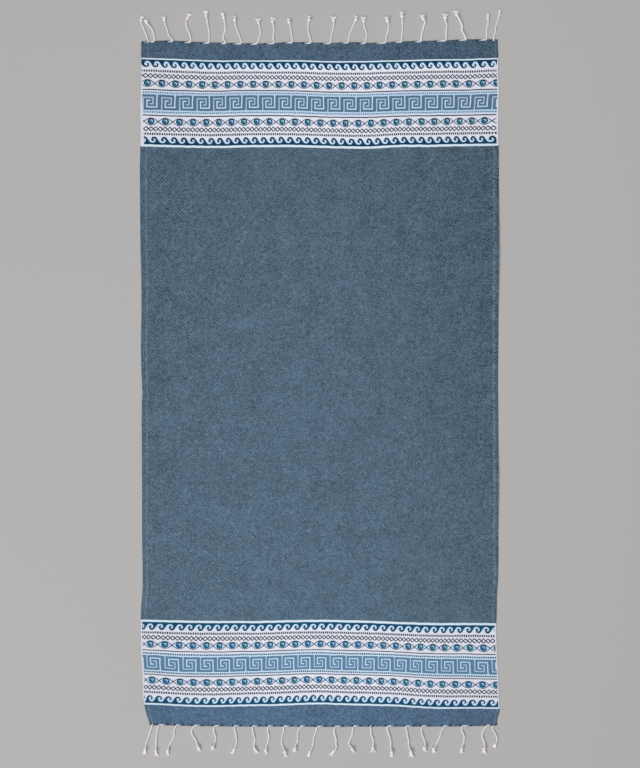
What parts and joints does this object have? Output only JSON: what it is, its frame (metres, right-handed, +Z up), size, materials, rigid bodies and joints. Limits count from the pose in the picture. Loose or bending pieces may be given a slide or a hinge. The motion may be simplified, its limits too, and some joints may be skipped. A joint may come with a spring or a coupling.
{
  "type": "hammam towel",
  "caption": "Flat-woven cotton bath and beach towel, laid flat, with a printed border band near each end and a fringe of knotted cords along both ends.",
  "frame": {"origin": "under the middle of the cloth, on the surface that the towel lies on", "axes": "+X across the towel to the right, +Y along it towards its head end, +Z up, out of the printed face"},
  "size_m": [0.9053, 1.8833, 0.0064],
  "materials": {
    "cloth": "woven cotton in a small diamond weave, slate blue, with white, navy, black and pale blue border prints",
    "fringe": "twisted off-white cotton cord, knotted and frayed at the tip"
  },
  "bodies": {
    "root": {"cloth": "cloth", "fringe_head": "fringe", "fringe_foot": "fringe"}
  },
  "joints": []
}
